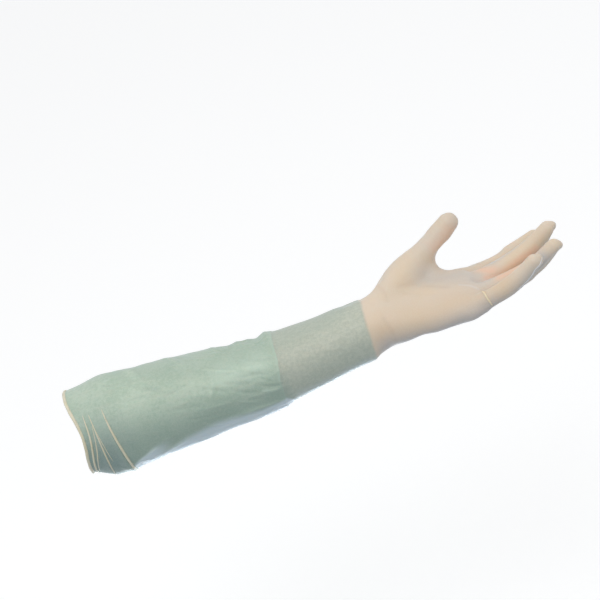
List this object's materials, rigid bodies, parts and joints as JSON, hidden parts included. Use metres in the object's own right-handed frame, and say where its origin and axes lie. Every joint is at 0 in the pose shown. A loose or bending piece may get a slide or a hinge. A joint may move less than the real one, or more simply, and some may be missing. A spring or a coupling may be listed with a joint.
{
  "type": "gynecological glove",
  "caption": "Elbow-length thin latex examination glove for the left hand, hollow, in its worn form, with five fingers and a rolled edge at the open mouth.",
  "frame": {"origin": "centre of the open mouth at the elbow, where the arm goes in", "axes": "+X along the glove from the mouth to the fingertips, +Z the way the palm faces, +Y the thumb's side"},
  "size_m": [0.4855, 0.1045, 0.0986],
  "materials": {
    "latex_film": "satin, slightly translucent dipped film"
  },
  "bodies": {
    "root": {"glove": "latex_film"}
  },
  "joints": []
}
